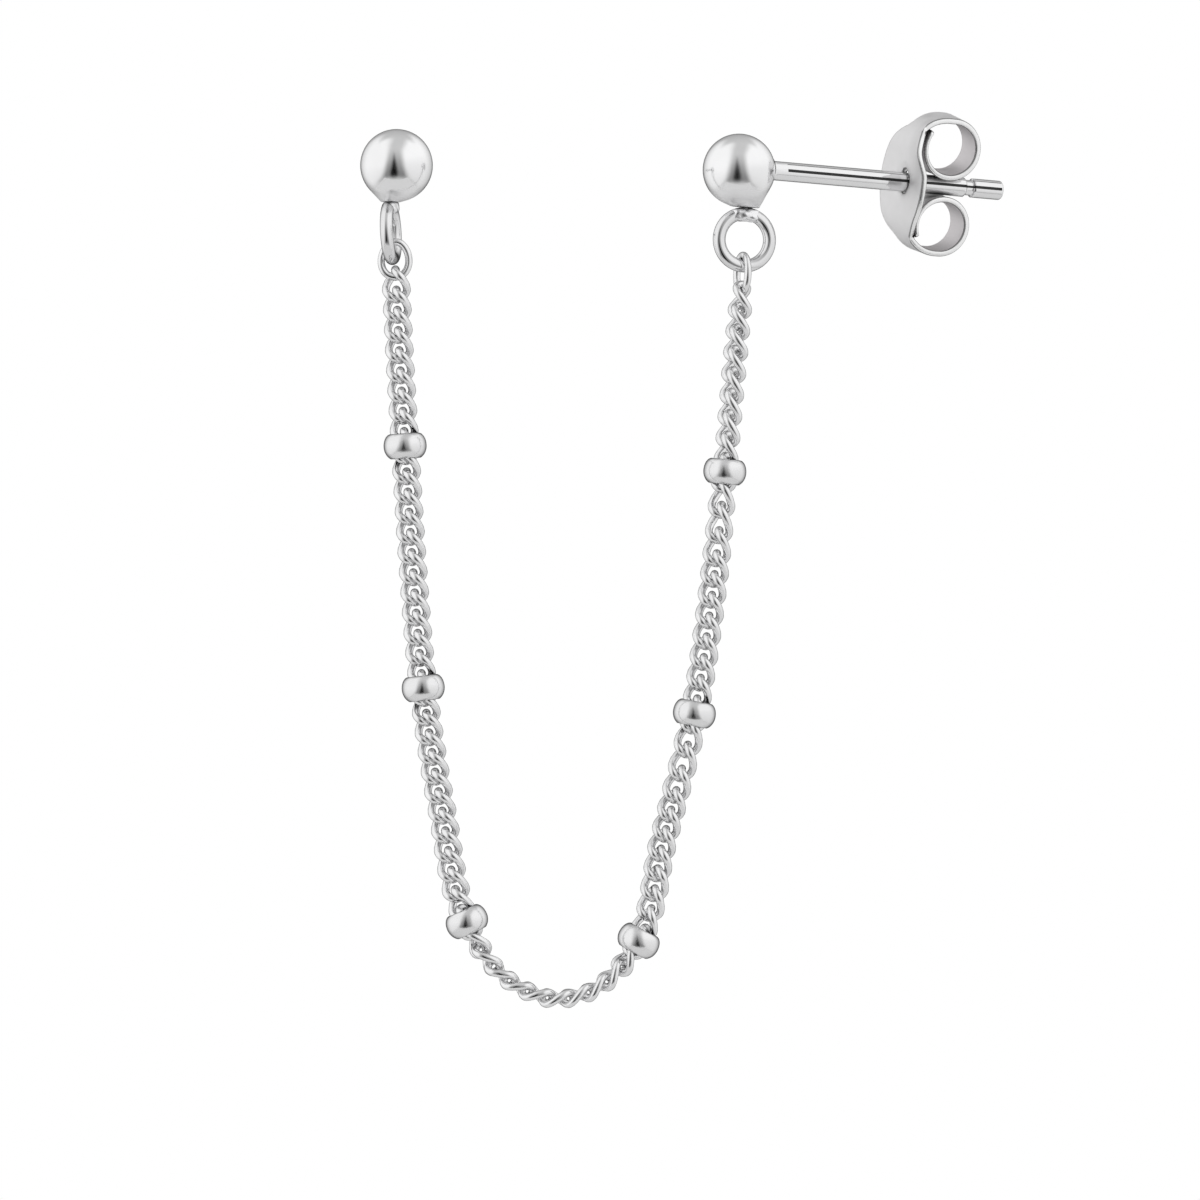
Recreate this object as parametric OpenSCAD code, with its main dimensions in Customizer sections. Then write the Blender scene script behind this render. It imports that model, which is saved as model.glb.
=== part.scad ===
// Chain stud earring: two ball studs joined by a beaded curb chain, with one butterfly back.
// Millimetres. +Z is up, +Y is the way the left post points, the chain hangs in the XZ plane.
// The origin is the spot on the left ball where its post begins and where the ear lobe rests.

/* [Studs] */

// Diameter of each ball
ball_d = 3; // [2.8:0.1:3.2]
// Diameter of each post
post_d = 0.8; // [0.7:0.05:0.8]
// Length of each post beyond its ball
post_len = 10.4; // [10:0.1:12]
// Width of the small collar where a post leaves its ball
collar_d = 1.05; // [0.9:0.05:1.2]
// Length of that collar
collar_len = 0.12; // [0.08:0.01:0.2]
// Bevel at the tip of a post
tip_bevel = 0.1; // [0.05:0.05:0.2]
// Distance of the notch from the tip of the right post
notch_from_tip = 1.4; // [1:0.1:2]
// Width of the notch
notch_w = 0.45; // [0.2:0.05:0.6]
// Depth of the notch
notch_depth = 0.08; // [0.04:0.01:0.12]

/* [Rings] */

// Outer diameter of the ring soldered under each ball
ring_d = 2.7; // [2.6:0.05:2.8]
// Thickness of the ring wire
ring_wire = 0.53; // [0.45:0.01:0.55]
// Turn of the ring away from the plane of its post
ring_turn = 8.3; // [0:0.1:12]
// Width of the solder between ball and ring
solder_d = 1.1; // [0.9:0.05:1.2]

/* [Butterfly back] */

// Distance of its plate from the middle of the right ball
back_at = 7.6; // [6:0.1:8.5]
// Roll of the back about the post
back_roll = 11; // [-20:1:20]
// Thickness of the sheet
sheet = 0.24; // [0.2:0.01:0.26]
// Width of the oval plate
plate_w = 4.44; // [4:0.02:5]
// Height of the oval plate
plate_h = 4.6; // [4.2:0.1:5]
// Diameter of the hole for the post
hole_d = 1; // [0.9:0.02:1.1]
// Width of the two scrolled bands
band_w = 1.45; // [1.2:0.05:1.6]
// Outer diameter of each scroll
scroll_d = 2.5; // [2.3:0.05:2.5]
// Outer radius of the bend between the plate and a scroll
bend_r = 1.75; // [1.7:0.01:1.8]
// Space between a scroll and the post
scroll_gap = 0.03; // [0.02:0.01:0.06]

/* [Chain] */

// Width of a chain link over all
link_w = 1.19; // [1.17:0.01:1.2]
// Wire of the chain links
link_wire = 0.26; // [0.24:0.01:0.27]
// Twist of a link from its middle to either end
link_twist = 52; // [50:1:54]
// Free length in each joint of the chain
link_slack = 0.16; // [0.15:0.01:0.17]
// Stretch of the longer links under the two upper right beads
long_stretch = 1.22; // [1:0.02:1.24]
// Corners along a link
link_sides = 14; // [12:2:16]
// Corners round the wire of a link
wire_sides = 6; // [5:1:6]

/* [Beads and end links] */

// Outer diameter of a bead
bead_d = 1.78; // [1.7:0.02:1.9]
// Height of a bead
bead_h = 1.04; // [0.9:0.02:1.1]
// Diameter of the hole drilled through a bead
bore_d = 1.28; // [1.26:0.01:1.3]
// Wire of the two end links
end_wire = 0.3; // [0.26:0.01:0.31]

/* [Hidden] */

silver = [0.82, 0.82, 0.84];
round_steps = 64;
small_steps = 32;
overlap = 0.05;

ball_r = ball_d / 2;
post_r = post_d / 2;
post_tip = ball_r + post_len;
ring_r = (ring_d - ring_wire) / 2;
scroll_r = scroll_d / 2;
scroll_z = post_r + scroll_gap + scroll_r;
scroll_x = bend_r - sheet / 2;
bend_z = scroll_z + scroll_r - bend_r;
scroll_turn = 260;

// Each stud: middle of its ball, azimuth of its post, dip of its post, how far the ring sits along
// the post, to its side and below the middle of the ball, lean of the ring, and its notch.
// x, y, z, azimuth, dip, ring_along, ring_side, ring_drop, ring_lean, notched
left_row = [0, -ball_r, 0, 90, 0, 0.3, 0.17, 2.76, -3, false];
right_row = [14.153, -ball_r, -0.19, 24, 3.7, 0.49, 0.15, 2.85, 0, true];

// Middle of the chain from the first link on the left to the last link on the right.
// x, y, z
route = [
    [-0.02, -1.21, -4.92],
    [0.1, -1.21, -7.41],
    [0.35, -1.21, -11.59],
    [0.67, -1.22, -16.6],
    [1.1, -1.22, -21.6],
    [1.87, -1.22, -26.63],
    [2.91, -1.22, -31.26],
    [3.96, -1.23, -33.03],
    [5.17, -1.23, -34],
    [6.7, -1.23, -34.43],
    [8.2, -1.23, -34.03],
    [9.31, -1.23, -33.08],
    [10, -1.24, -32.05],
    [11, -1.24, -28.02],
    [12.31, -1.24, -22.65],
    [13.07, -1.24, -17.49],
    [13.57, -1.25, -12.65],
    [13.98, -1.25, -8.15],
    [14.23, -1.25, -5.57]
];

// Rows of the route where a numbered link sits, and how many joints before it are long ones.
// route_row, link_number, long_joints
stops = [
    [0, 0, 0],
    [2, 8, 0],
    [4, 20, 0],
    [6, 32, 0],
    [12, 43, 0],
    [14, 54, 3],
    [16, 65, 3],
    [18, 73, 0]
];

// Roll of the links about the chain: the flat face is nearly in front on the left strand, turns
// away at the bottom and comes part of the way round on the right strand.
// link_number, roll
rolls = [
    [29.5, -27],
    [34.5, -90],
    [40.5, -90],
    [45.5, -156],
    [62.3, -156],
    [68, -132],
    [70, -132],
    [73, -104]
];

// Links on which a bead sits
bead_links = [8, 20, 32, 43, 54, 65];
// First link of the right half of the chain
half_link = 38;
last_link = 73;

// End links: middle, azimuth of their flat face, width, height.
// x, y, z, azimuth, width, height
left_end = [-0.09, -1.25, -3.92, 20, 1.54, 1.82];
right_end = [14.284, -1.273, -4.413, 130.5, 1.38, 2.02];

// Smooth path through the rows of the route

steps = 16;
rows = len(route);

function gap(i) = norm(route[i + 1] - route[i]);

function heading(i) =
    i == 0 ? (route[1] - route[0]) / gap(0) :
    i == rows - 1 ? (route[i] - route[i - 1]) / gap(i - 1) :
    let (before = gap(i - 1), after = gap(i))
    ((route[i] - route[i - 1]) * after / before + (route[i + 1] - route[i]) * before / after)
        / (before + after);

function between(i, t) =
    let (t2 = t * t, t3 = t2 * t)
    route[i] * (2 * t3 - 3 * t2 + 1) + heading(i) * gap(i) * (t3 - 2 * t2 + t)
        + route[i + 1] * (3 * t2 - 2 * t3) + heading(i + 1) * gap(i) * (t3 - t2);

trail = [for (i = [0 : rows - 2]) for (k = [0 : steps - 1]) between(i, k / steps), route[rows - 1]];

function step_len(i) = i + 1 < len(trail) ? norm(trail[i + 1] - trail[i]) : 0;

walked = [for (i = 0, s = 0; i < len(trail); s = s + step_len(i), i = i + 1) s];
walk_x = [for (i = [0 : len(trail) - 1]) [walked[i], trail[i].x]];
walk_y = [for (i = [0 : len(trail) - 1]) [walked[i], trail[i].y]];
walk_z = [for (i = [0 : len(trail) - 1]) [walked[i], trail[i].z]];

function at(s) = [lookup(s, walk_x), lookup(s, walk_y), lookup(s, walk_z)];

function along(s) =
    let (reach = 0.2, d = at(s + reach) - at(s - reach))
    d / norm(d);

// Place of each numbered link along that path

function joint_sum(k, joints, long) = k + (long_stretch - 1) * max(0, k - (joints - long));

function stop_before(n) = max([for (j = [0 : len(stops) - 2]) if (stops[j][1] <= n) j]);

function link_s(n) =
    let (
        j = stop_before(n),
        a = walked[stops[j][0] * steps],
        b = walked[stops[j + 1][0] * steps],
        joints = stops[j + 1][1] - stops[j][1],
        long = stops[j + 1][2]
    )
    a + (b - a) * joint_sum(n - stops[j][1], joints, long) / joint_sum(joints, joints, long);

function joint_after(n) = n == last_link ? joint_before(n) : link_s(n + 1) - link_s(n);

function joint_before(n) = n == 0 ? joint_after(n) : link_s(n) - link_s(n - 1);

function link_len(n) = (joint_before(n) + joint_after(n)) / 2 + link_wire + link_slack;

function link_mid(n) = link_s(n) + (joint_after(n) - joint_before(n)) / 4;

// Frame of a link: columns across, away and up the chain

function frame(s) =
    let (up = -along(s), across = cross([0, 1, 0], up), side = across / norm(across))
    [side, cross(up, side), up];

// One link as the corners of its bent and twisted wire

function link_corner(i, j, length) =
    let (
        half = link_sides / 2,
        r = (link_w - link_wire) / 2,
        straight = length / 2 - r,
        upper = i < half,
        a = 180 * (upper ? i : i - half) / (half - 1) + (upper ? 0 : 180),
        b = 360 * (j + 0.5) / wire_sides,
        out = r + link_wire / 2 * cos(b),
        x = out * cos(a),
        y = link_wire / 2 * sin(b),
        z = out * sin(a) + (upper ? straight : -straight)
    )
    [x, y, z];

function turned(p, a) = [p.x * cos(a) - p.y * sin(a), p.x * sin(a) + p.y * cos(a), p.z];

function link_points(n) =
    let (
        s = link_mid(n),
        length = link_len(n),
        f = frame(s),
        centre = at(s),
        roll = lookup(n, rolls)
    )
    [
        for (i = [0 : link_sides - 1])
            for (j = [0 : wire_sides - 1])
                let (
                    p = link_corner(i, j, length),
                    q = turned(p, roll - link_twist * p.z / (length / 2))
                )
                centre + q.x * f[0] + q.y * f[1] + q.z * f[2]
    ];

function link_faces(first) = [
    for (i = [0 : link_sides - 1])
        for (j = [0 : wire_sides - 1])
            let (
                a = first + i * wire_sides + j,
                b = first + i * wire_sides + (j + 1) % wire_sides,
                c = first + (i + 1) % link_sides * wire_sides + (j + 1) % wire_sides,
                d = first + (i + 1) % link_sides * wire_sides + j
            )
            each [[a, b, c], [a, c, d]]
];

module links(from, to) {
    corners = link_sides * wire_sides;
    color(silver)
        polyhedron(
            points = [for (n = [from : to]) each link_points(n)],
            faces = [for (n = [from : to]) each link_faces((n - from) * corners)],
            convexity = 10
        );
}

module chain_left() {
    links(0, half_link - 1);
}

module chain_right() {
    links(half_link, last_link);
}

// Beads: a drilled round body, the hole lying along the chain

module bead(link) {
    s = link_s(link);
    up = -along(s);
    rim_r = bead_d / 2 - 0.29;
    color(silver)
        translate(at(s))
            multmatrix([
                [frame(s)[0].x, frame(s)[1].x, up.x, 0],
                [frame(s)[0].y, frame(s)[1].y, up.y, 0],
                [frame(s)[0].z, frame(s)[1].z, up.z, 0],
                [0, 0, 0, 1]
            ])
                rotate_extrude($fn = round_steps)
                    intersection() {
                        translate([rim_r, 0])
                            scale([bead_d / 2 - rim_r, bead_h / 2])
                                circle(r = 1, $fn = round_steps);
                        translate([bore_d / 2, -bead_h])
                            square([bead_d, 2 * bead_h]);
                    }
}

module bead_1() {
    bead(bead_links[0]);
}

module bead_2() {
    bead(bead_links[1]);
}

module bead_3() {
    bead(bead_links[2]);
}

module bead_4() {
    bead(bead_links[3]);
}

module bead_5() {
    bead(bead_links[4]);
}

module bead_6() {
    bead(bead_links[5]);
}

// End links: plain ovals of round wire between each ring and the chain

module oval_link(width, height) {
    r = (width - end_wire) / 2;
    straight = (height - width) / 2;
    for (end = [0, 180])
        rotate([0, end, 0])
            translate([0, 0, straight])
                rotate([90, 0, 0])
                    rotate_extrude(angle = 180, $fn = round_steps)
                        translate([r, 0])
                            circle(d = end_wire, $fn = small_steps);
    for (side = [-1, 1])
        translate([side * r, 0, -straight])
            cylinder(d = end_wire, h = 2 * straight, $fn = small_steps);
}

module end_link_left() {
    color(silver)
        translate([left_end[0], left_end[1], left_end[2]])
            rotate([0, 0, left_end[3]])
                oval_link(left_end[4], left_end[5]);
}

module end_link_right() {
    color(silver)
        translate([right_end[0], right_end[1], right_end[2]])
            rotate([0, 0, right_end[3]])
                oval_link(right_end[4], right_end[5]);
}

// Studs, drawn with the middle of the ball at zero and the post along +X

module post(notched) {
    difference() {
        union() {
            rotate([0, 90, 0])
                cylinder(r = post_r, h = post_tip - tip_bevel, $fn = small_steps);
            translate([post_tip - tip_bevel, 0, 0])
                rotate([0, 90, 0])
                    cylinder(r1 = post_r, r2 = post_r - tip_bevel, h = tip_bevel, $fn = small_steps);
            translate([ball_r - overlap, 0, 0])
                rotate([0, 90, 0])
                    cylinder(d1 = collar_d, d2 = post_d, h = collar_len + overlap, $fn = small_steps);
        }
        if (notched)
            translate([post_tip - notch_from_tip - notch_w / 2, 0, 0])
                rotate([0, 90, 0])
                    difference() {
                        cylinder(r = post_d, h = notch_w, $fn = small_steps);
                        cylinder(r = post_r - notch_depth, h = notch_w, $fn = small_steps);
                    }
    }
}

module ring_and_solder(shift, side, drop, lean) {
    translate([shift, side, -drop])
        rotate([lean, 0, -ring_turn])
            rotate([90, 0, 0])
                rotate_extrude($fn = round_steps)
                    translate([ring_r, 0])
                        circle(d = ring_wire, $fn = small_steps);
    top = drop - ring_d / 2 + ring_wire * 0.7;
    translate([shift, side, -top])
        cylinder(d1 = ring_wire, d2 = solder_d, h = top - ball_r * 0.85, $fn = small_steps);
}

module placed(row) {
    translate([row[0], row[1], row[2]])
        rotate([0, row[4], row[3]])
            children();
}

module stud(row) {
    color(silver)
        placed(row)
            union() {
                rotate([90, 0, 180])
                    sphere(r = ball_r, $fn = round_steps);
                post(row[9]);
                ring_and_solder(row[5], row[6], row[7], row[8]);
            }
}

module left_stud() {
    stud(left_row);
}

module right_stud() {
    stud(right_row);
}

// Butterfly back: side profile in x and z, drawn with the plate across x = 0

module wedge(from, turn) {
    reach = 4 * scroll_r;
    parts = 8;
    polygon([
        [0, 0],
        for (k = [0 : parts]) let (a = from - turn * k / parts) [reach * cos(a), reach * sin(a)]
    ]);
}

module sector(r, from, turn) {
    difference() {
        circle(r = r, $fn = round_steps);
        circle(r = r - sheet, $fn = round_steps);
        wedge(from - turn, 360 - turn);
    }
}

module plate_profile() {
    translate([-sheet / 2, -bend_z - overlap])
        square([sheet, 2 * (bend_z + overlap)]);
    for (side = [0, 1])
        mirror([0, side])
            translate([scroll_x, bend_z])
                sector(bend_r, 180, 90);
}

module scroll_profile() {
    for (side = [0, 1])
        mirror([0, side])
            translate([scroll_x, scroll_z])
                sector(scroll_r, 90 + overlap, scroll_turn);
}

module across_band(width) {
    rotate([90, 0, 0])
        translate([0, 0, -width / 2])
            linear_extrude(width)
                children();
}

module plate_outline() {
    rotate([90, 0, 90])
        translate([0, 0, -2])
            linear_extrude(5)
                union() {
                    scale([plate_w / 2, plate_h / 2])
                        circle(r = 1, $fn = round_steps);
                    square([band_w, 4 * scroll_z], center = true);
                }
}

module butterfly_back() {
    color(silver)
        placed(right_row)
            translate([back_at, 0, 0])
                rotate([back_roll, 0, 0])
                    difference() {
                        union() {
                            intersection() {
                                across_band(plate_w + 1)
                                    plate_profile();
                                plate_outline();
                            }
                            across_band(band_w)
                                scroll_profile();
                        }
                        translate([-1, 0, 0])
                            rotate([0, 90, 0])
                                cylinder(d = hole_d, h = 1 + sheet, $fn = small_steps);
                    }
}

left_stud();
right_stud();
butterfly_back();
end_link_left();
end_link_right();
chain_left();
chain_right();
bead_1();
bead_2();
bead_3();
bead_4();
bead_5();
bead_6();
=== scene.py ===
"""Looks of the chain stud earring: two ball studs, a beaded curb chain and one butterfly back.

Shapes are worked out in millimetres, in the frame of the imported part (+Z up, the left post along +Y),
and become metres when a mesh is made. A stud's node is replaced by its ball, with the post, ring and
solder as pieces beside it. Every other piece replaces a node by itself.
"""

import math

import bpy
import numpy as np
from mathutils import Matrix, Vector
from mathutils.geometry import delaunay_2d_cdt


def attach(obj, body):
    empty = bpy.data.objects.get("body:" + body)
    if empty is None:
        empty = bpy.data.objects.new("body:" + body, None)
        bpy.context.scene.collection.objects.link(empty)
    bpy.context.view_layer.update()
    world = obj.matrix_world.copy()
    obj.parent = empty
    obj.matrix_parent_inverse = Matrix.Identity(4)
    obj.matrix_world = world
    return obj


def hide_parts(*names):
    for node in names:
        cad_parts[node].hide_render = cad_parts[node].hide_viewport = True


MM = 0.001

# Studs, in a frame of their own: ball at zero, post along +x, ring below
BALL_R = 1.5
POST_R = 0.4
# Where the post's fillet starts in the ball, its width and length, and where the plain shaft starts
POST_ROOT = 1.415
FILLET_WIDTH = 0.14
FILLET_LENGTH = 0.16
SHAFT_START = 1.695
POST_TIP = 12.05
TIP_BEVEL = 0.1
# Radius of the one round of points within the cut end, and the least length kept beside its bevel
TIP_INNER_R = 0.15
TIP_MARGIN = 0.01
NOTCH_AT = 10.5
NOTCH_HALF = 0.2
NOTCH_DEPTH = 0.08
# Plain wire between the notch's own points and those of the shaft
NOTCH_MARGIN = 0.08
# How flat the bottom of the notch is: a higher power gives steeper sides
NOTCH_POWER = 6
# Points along the shaft, the notch, the wire past it, and each quarter round
SHAFT_POINTS = 24
NOTCH_POINTS = 33
END_POINTS = 8
QUARTER_POINTS = 9
RING_R = 1.085
RING_WIRE = 0.53
RING_TURN = 8.3
# The neck between ball and ring: depth below the ball's middle, half length and half width, and how much
# of the ring's shift along the post it follows
NECK_DEPTH = 1.5
NECK_LONG = 0.6
NECK_SHORT = 0.4
NECK_SHIFT = 0.9
# Solder at the top of the ring: half sizes, depth below the ring's top, how square it is, and the number,
# depth, closeness and range of shifts of the waves in its skin
SOLDER_HALF = (0.588, 0.328, 0.28)
SOLDER_BELOW = 0.05
SOLDER_POWER = 3.0
SOLDER_WAVES = 14
WAVE_DEPTH = 0.03
WAVES_PER_MM = 9
WAVE_SHIFT = 6.28
# Fine shallow grooves along each post, coloured near black as a painted dark reflection: angle about
# the post, and width
DARK_REFLECTION_LINES = [(176, 0.12), (135, 0.03), (64, 0.05), (12, 0.03), (331, 0.05), (290, 0.03)]
LINE_DEPTH = 0.008
# Where the lines start past the ball, and how far from a line's middle, in half widths, the post's own
# points are left out
LINE_START = 0.25
LINE_CLEAR = 1.3
POST_STEP = 6

# Where each stud sits: middle of the ball, azimuth and dip of the post, middle and lean of the ring, how
# far the post is soldered above the middle of the ball, and the seed of the solder's waves
STUDS = {
    "left": dict(
        at=(0, -1.5, 0), azimuth=90, dip=0, ring=(0.3, 0.24, -2.76), lean=-3,
        notched=False, lift=0, seed=7,
    ),
    "right": dict(
        at=(14.153, -1.5, -0.19), azimuth=24, dip=3.53, ring=(0.49, 0.15, -2.85), lean=0,
        notched=True, lift=0.1, seed=11,
    ),
}
STUD_METALS = {
    "ball": ["ball_silver"],
    "post": ["post_silver", "painted_reflection_line", "cut_end"],
    "ring": ["ring_silver"],
    "solder": ["soldered_silver"],
}
# Faces of the post, as numbers of its metals
PLAIN, PAINTED_REFLECTION, CUT_END = range(3)
CUT_END_ROWS = 3

# Butterfly back, in the frame of the right stud
BACK_AT = 7.6
BACK_ROLL = 11
BACK_LIFT = 0.16
SHEET = 0.24
SHEET_EDGE = 0.07
EDGE_STEPS = 6
PLATE_HALF = (2.04, 2.42)
HOLE_R = 0.5
BAND_HALF = 0.725
SOFT_CORNER = 0.1
END_CORNER = 0.15
BEND_R = 1.5
SCROLL_X = 1.66
# The two scrolls, above (1) and below (-1): radius, height of the bend's top, how far the sheet is rolled
# round, and how far it is skewed, in degrees
SCROLLS = {
    1: dict(radius=1.19, top=2.81, turn=306, skew=3.5),
    -1: dict(radius=1.15, top=2.85, turn=298, skew=0),
}
# The sheet is thinner towards its ends: by this share, between these turns of the scroll in radians
SCROLL_THIN = 0.28
THIN_FROM, THIN_TO = 3.2, 4.6
# The plate is dished, drawn in round the hole by the punch, and flared out on one side above the post
DISH = 0.05
PUNCH_DEPTH = 0.13
PUNCH_REACH = 0.16
FLARE = 0.35
# Heights between which the flare grows, and the part of the bend where it starts to fade
FLARE_FROM, FLARE_TO = 0.3, 1.5
FLARE_ENDS = 0.45
# The scroll clears the post by this much, in a hollow whose rim is softer at a lower power
POST_CLEAR = 0.02
HOLLOW_POWER = 6
# Spacing of the sheet's points along its outline and inside it, and how far those inside keep from edges
OUTLINE_STEP = 0.05
MESH_STEP = 0.16
MESH_CLEAR = 0.06
MESH_ENDS = 0.1
HOLE_SIDES = 64
# Points of the sheet nearer to each other than this are one
SAME_POINT = 1e-7
# Faces of the sheet, as numbers of its metals
BACK_METALS = ["satin_outside", "satin_inside_painted_shade", "cut_edge", "painted_edge_shade"]
OUTSIDE, INSIDE, CUT_EDGE, EDGE_SHADE = range(4)

# Middle of the chain, from its first link on the left to its last on the right
ROUTE = np.array(
    [
        (-0.02, -1.21, -4.91),
        (0.1, -1.21, -7.41),
        (0.35, -1.21, -11.59),
        (0.67, -1.22, -16.6),
        (1.1, -1.22, -21.6),
        (1.87, -1.22, -26.63),
        (2.91, -1.22, -31.26),
        (3.96, -1.23, -33.03),
        (5.17, -1.23, -34.0),
        (6.7, -1.23, -34.43),
        (8.2, -1.23, -34.03),
        (9.31, -1.23, -33.08),
        (10.0, -1.24, -32.05),
        (11.0, -1.24, -28.02),
        (12.31, -1.24, -22.65),
        (13.07, -1.24, -17.49),
        (13.57, -1.25, -12.65),
        (13.98, -1.25, -8.15),
        (14.23, -1.25, -5.57),
    ]
)
# Steps from one row of the route to the next
STEPS = 16
# Row of the route, link that sits there, and how many of the joints just before it are long ones
STOPS = [(0, 0, 0), (2, 8, 0), (4, 20, 0), (6, 32, 0), (12, 43, 0), (14, 54, 3), (16, 65, 3), (18, 73, 0)]
LONG_STRETCH = 1.22
# Roll of the links about the chain, by link number
ROLL_LINK = [29.5, 34.5, 40.5, 45.5, 60.5, 66, 70, 73]
ROLL = [-27, -90, -90, -156, -156, -114, -112, -104]
# Twist of a link from its middle to its end, by link number: less where the chain bends or rolls
TWIST_LINK = [28, 31, 46, 48, 61, 63, 69, 71]
TWIST = [74, 60, 54, 74, 74, 64, 64, 74]
LINK_W = 1.19
LINK_WIRE = 0.32
LINK_SLACK = 0.11
LAST_LINK = 73
# First link of the right half of the chain
HALF_LINK = 38

# Beads round the chain. Below and above its middle, a bead's side bulges by the first number and is as
# high as the second
BEAD_LINKS = [8, 20, 32, 43, 54, 65]
BEAD_R = 0.89
BEAD_H = 1.04
BEAD_BELOW = (0.47, 0.57)
BEAD_ABOVE = (0.32, BEAD_H / 2)
BEAD_SIDES = 96
BORE_R = 0.62
# The bore is this much narrower past its mouth, from this far inside the bead's ends
BORE_STEP = 0.02
BORE_LIP = 0.05
BORE_POINTS = 6

# The two end links: middle, azimuth, tilt and lean, width and height of the wire's middle, and how much
# wider they are low down
END_WIRE = 0.3
END_LINKS = {
    "left": dict(
        middle=(-0.061, -1.208, -3.879), azimuth=0.6, tilt=-0.4, lean=2.5,
        width=1.134, height=1.454, swell=0.1,
    ),
    "right": dict(
        middle=(14.297, -1.259, -4.472), azimuth=114.2, tilt=1.7, lean=-2.7,
        width=1.089, height=1.531, swell=0,
    ),
}

# Metals: range of roughness, tint, patches of wear and of grain to the millimetre, height of the grain.
# dull gives the heights where heat starts to dull the metal and where it is dullest, and the roughness
# that this adds. Shade is painted into narrow corners by one more entry: the reach of that painted dark,
# and how bright the darkest stays. rim gives the brightness of reflections at a glancing angle.
METALS = {
    "ball_silver": dict(
        rough=(0.13, 0.18), tint=(0.95, 0.95, 0.955), wear=0.8, grain=3.0, height=0.002,
        dull=(-0.8, -1.4, 0.3),
    ),
    "post_silver": dict(
        rough=(0.06, 0.09), tint=(0.9, 0.9, 0.905), wear=0.8, grain=3.0, height=0.002, rim=0.5,
    ),
    "ring_silver": dict(
        rough=(0.07, 0.1), tint=(0.85, 0.85, 0.855), wear=0.8, grain=3.0, height=0.002, rim=0.3,
    ),
    # Painted shade in the solder's narrow corners
    "soldered_silver": dict(
        rough=(0.12, 0.3), tint=(0.92, 0.92, 0.93), wear=3.0, grain=9.0, height=0.012, painted_corner_shade=(0.2, 0.3),
    ),
    # Painted reflection: near black, standing in for the dark line reflected along the post
    "painted_reflection_line": dict(rough=(0.4, 0.5), tint=(0.05, 0.05, 0.05), wear=2.0, grain=6.0, height=0.002),
    "cut_end": dict(rough=(0.45, 0.6), tint=(0.93, 0.93, 0.935), wear=4.0, grain=12.0, height=0.01),
    "bead_silver": dict(
        rough=(0.16, 0.22), tint=(0.88, 0.88, 0.885), wear=1.2, grain=4.0, height=0.004, rim=0.2,
    ),
    "chain_silver": dict(
        rough=(0.12, 0.2), tint=(0.92, 0.92, 0.925), wear=2.0, grain=6.0, height=0.004, rim=0.35,
    ),
    # Both satins get shade painted into their narrow corners
    "satin_outside": dict(
        rough=(0.5, 0.58), tint=(0.86, 0.855, 0.86), wear=1.5, grain=22.0, height=0.004,
        painted_corner_shade=(0.3, 0.3),
    ),
    # Painted shade: the inner faces are a darker, slightly pinker copy of the outside satin, the darker
    # tone standing in for the shade on the sheet's inner faces
    "satin_inside_painted_shade": dict(
        rough=(0.42, 0.5), tint=(0.74, 0.715, 0.725), wear=1.5, grain=22.0, height=0.004,
        painted_corner_shade=(0.3, 0.3),
    ),
    "cut_edge": dict(rough=(0.15, 0.3), tint=(0.97, 0.97, 0.97), wear=5.0, grain=7.0, height=0.006),
    # Painted shade: the shoulders of the rounded edges are coloured dark as outline shade
    "painted_edge_shade": dict(rough=(0.3, 0.5), tint=(0.34, 0.34, 0.34), wear=5.0, grain=9.0, height=0.01),
}
# Range of the wear's noise that counts, and the share of the tint that is left where it is lowest
WEAR_LOW, WEAR_HIGH = 0.3, 0.7
WORN_TINT = 0.95
GRAIN_DETAIL = 3.0
# Shares of open sky between which a corner goes from the darkest painted shade to none
CORNER_LOW, CORNER_HIGH = 0.25, 0.85

# Light of the studio by direction: x to the right, y away from the camera, z up, each from -1 to 1.
# Curves by height: the grey between the softboxes, half the width of the dark gap in it, where each
# softbox begins, and how bright it is
BETWEEN = [
    (-1, 0.62), (-0.8, 0.4), (-0.6, 0.2), (-0.3, 0.26), (0.1, 0.36), (0.5, 0.5), (0.8, 0.6), (1, 0.6)
]
GAP_HALF = [
    (-1, -0.2), (-0.8, -0.1), (-0.62, 0.17), (-0.4, 0.2), (0, 0.13), (0.3, 0.06), (0.55, 0), (1, -0.2)
]
LEFT_EDGE = [(-1, -0.9), (-0.72, -0.8), (-0.6, -0.66), (0, -0.54), (0.735, -0.36), (0.9, -0.3), (1, -0.2)]
RIGHT_EDGE = [(-1, 0.9), (-0.75, 0.8), (-0.62, 0.56), (0, 0.4), (0.695, 0.3), (0.94, 0.4), (1, 0.45)]
LEFT_LIGHT = [(-1, 0.8), (-0.7, 0.82), (0, 0.98), (1, 0.98)]
RIGHT_LIGHT = [(-1, 0.74), (-0.7, 0.76), (0, 0.88), (0.4, 1.0), (1, 1.0)]
# Curve by y: how much of the light is left towards the back
BEHIND = [(-1, 1), (0.35, 1), (0.6, 0.87), (0.78, 0.72), (0.88, 0.6), (1, 0.05)]
# The gap's middle, its soft edge, and how far to the front it fades in
GAP_MIDDLE = -0.11
GAP_SOFT = 0.11
GAP_FRONT = (0.0, 0.2)
BOX_SOFT = 0.17
# Plain greys past the curves, each with where it fades in: to the back, above and behind, and below
BACK_GREY = 0.6
BACK_Y = (-0.3, 0.2)
ABOVE_GREY = 0.56
ABOVE_Z = (0.7, 0.9)
ABOVE_Y = (0.0, 0.35)
BELOW_GREY = 0.68
BELOW_DEPTH = (0.5, 0.9)

FLOOR_HALF = 120
FLOOR_HEIGHT = -130
FLOOR_NOISE_PER_MM = 0.05

CAMERA_AT = (8.409, -401.5, -17.959)
CAMERA_LENS = 290.4
CAMERA_SENSOR = 36
# Nearest and farthest that it sees, in metres
CAMERA_REACH = (0.01, 10)


# Small helpers


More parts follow.
